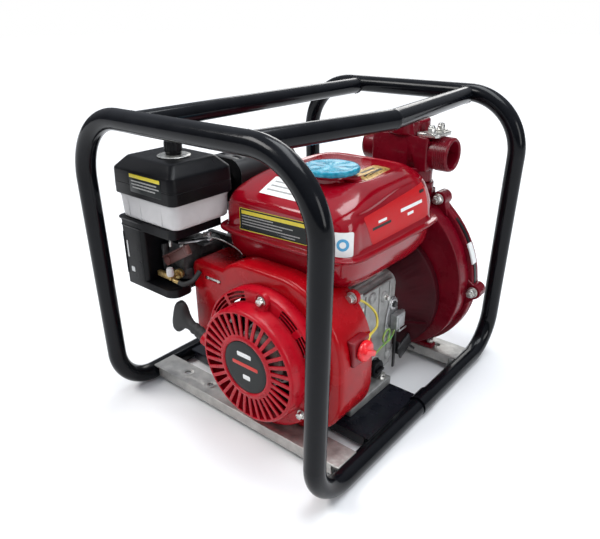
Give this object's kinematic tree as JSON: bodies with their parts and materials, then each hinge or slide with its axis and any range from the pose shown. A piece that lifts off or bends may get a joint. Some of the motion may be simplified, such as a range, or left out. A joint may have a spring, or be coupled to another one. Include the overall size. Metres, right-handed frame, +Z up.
{
  "type": "portable fire pump",
  "caption": "Petrol engine with rope starter, fuel tank and air cleaner, driving a centrifugal water pump with side and top outlets inside a bent-tube carrying frame.",
  "frame": {"origin": "centre of the carrying frame's footprint, on the floor", "axes": "+X to the right as seen from the rope starter's end, +Y from the starter towards the pump's suction port, +Z up"},
  "size_m": [0.4286, 0.517, 0.45],
  "materials": {
    "frame_black": "gloss",
    "galvanised": "satin",
    "tray_black": "gloss",
    "cast_grey": "as cast",
    "enamel_black": "satin",
    "steel": "satin",
    "cast_iron": "as cast",
    "black_plastic": "satin",
    "engine_red": "gloss",
    "starter_red": "gloss",
    "badge_black": "gloss",
    "rope": "woven",
    "bright_bolts": "zinc plated",
    "tank_crimson": "high gloss",
    "cap_blue": "gloss film",
    "white_plastic": "translucent moulding",
    "filter_paper": "pleated paper",
    "die_cast": "as cast",
    "brass_part": "satin",
    "rubber_black": "matt",
    "switch_red": "satin",
    "knob_red": "gloss",
    "wire_yellow": "pvc",
    "wire_green": "pvc",
    "pump_maroon": "gloss"
  },
  "bodies": {
    "base": {"front_hoop": "frame_black", "rear_hoop": "frame_black", "top_rail_left": "frame_black", "top_rail_right": "frame_black", "front_cross_member": "galvanised", "rear_cross_member": "galvanised", "engine_tray": "tray_black", "crankcase": "cast_grey", "pto_cover": "cast_grey", "cylinder_head": "cast_grey", "rocker_cover": "enamel_black", "main_bearings": "steel", "piston": "cast_grey", "piston_pin": "steel", "fan_shroud": "engine_red", "recoil_cover": "starter_red", "recoil_badge": "badge_black", "starter_rope": "rope", "shroud_bolts": "bright_bolts", "tank_lower_shell": "tank_crimson", "tank_upper_shell": "tank_crimson", "fuel_strainer": "white_plastic", "air_cleaner_cover": "black_plastic", "air_cleaner_base": "white_plastic", "filter_element": "filter_paper", "intake_duct": "black_plastic", "carburettor": "die_cast", "muffler": "enamel_black", "muffler_guard": "enamel_black", "spark_plug_lead": "rubber_black", "stop_switch_body": "switch_red", "switch_wire": "wire_yellow", "oil_sensor_wire": "wire_green", "low_oil_unit": "die_cast", "oil_filler_caps": "black_plastic", "engine_bolts": "bright_bolts", "pump_adapter": "pump_maroon", "volute_casing": "pump_maroon", "rear_casing_cover": "pump_maroon", "shaft_seal": "rubber_black", "discharge_manifold": "pump_maroon", "outlet_clamp": "steel", "pump_fasteners": "bright_bolts"},
    "rotor": {"crankshaft": "steel", "flywheel": "cast_iron", "cooling_fan": "black_plastic", "starter_cup": "steel", "impeller": "brass_part"},
    "reel": {"rope_reel": "galvanised", "wound_rope": "rope"},
    "grip": {"starter_grip": "black_plastic"},
    "filler_cap": {"fuel_cap": "cap_blue"},
    "choke": {"choke_lever": "steel"},
    "fuel_tap": {"fuel_tap_lever": "brass_part"},
    "throttle": {"throttle_lever": "steel"},
    "governor": {"governor_arm": "steel"},
    "switch_knob": {"stop_switch_knob": "knob_red"},
    "cleaner_nut": {"air_cleaner_nut": "black_plastic"},
    "flap": {"check_valve_flap": "rubber_black"}
  },
  "joints": [
    {"name": "crankshaft_spin", "type": "hinge", "parent": "base", "child": "rotor", "pos_m": [0.046, 0, 0.128], "axis": [0, 1, 0], "continuous": true},
    {"name": "reel_turn", "type": "hinge", "parent": "base", "child": "reel", "pos_m": [0.046, -0.185, 0.128], "axis": [0, 1, 0], "range_deg": [0, 1200], "stiffness_Nm_per_rad": 0.01, "springref_deg": -458.37},
    {"name": "starter_pull", "type": "slide", "parent": "base", "child": "grip", "axis": [-1, 0, 0], "range_m": [0, 0.8], "deforming": ["starter_rope"]},
    {"name": "filler_cap_turn", "type": "hinge", "parent": "base", "child": "filler_cap", "pos_m": [0.059, -0.041, 0.362], "axis": [0, 0, 1], "range_deg": [0, 90]},
    {"name": "choke_turn", "type": "hinge", "parent": "base", "child": "choke", "pos_m": [-0.13, -0.17, 0.226], "axis": [0, 1, 0], "range_deg": [0, 35]},
    {"name": "fuel_tap_turn", "type": "hinge", "parent": "base", "child": "fuel_tap", "pos_m": [-0.124, -0.175, 0.205], "axis": [0, 1, 0], "range_deg": [0, 90]},
    {"name": "throttle_turn", "type": "hinge", "parent": "base", "child": "throttle", "pos_m": [-0.094, -0.13, 0.2514], "axis": [0, 0, 1], "range_deg": [-30, 20]},
    {"name": "governor_swing", "type": "hinge", "parent": "base", "child": "governor", "pos_m": [-0.074, -0.08, 0.18], "axis": [0, 0, 1], "range_deg": [-8, 8]},
    {"name": "stop_switch_turn", "type": "hinge", "parent": "base", "child": "switch_knob", "pos_m": [0.172, -0.122, 0.165], "axis": [1, 0, 0], "range_deg": [0, 60]},
    {"name": "cleaner_nut_turn", "type": "hinge", "parent": "base", "child": "cleaner_nut", "pos_m": [-0.126, -0.154, 0.385], "axis": [0, 0, 1], "range_deg": [0, 1440]},
    {"name": "check_flap_swing", "type": "hinge", "parent": "base", "child": "flap", "pos_m": [0.046, 0.212, 0.1435], "axis": [1, 0, 0], "range_deg": [-45, 0]}
  ],
  "couplings": [
    {"joint": "starter_pull", "follows": "reel_turn", "m_per_rad": 0.038}
  ]
}
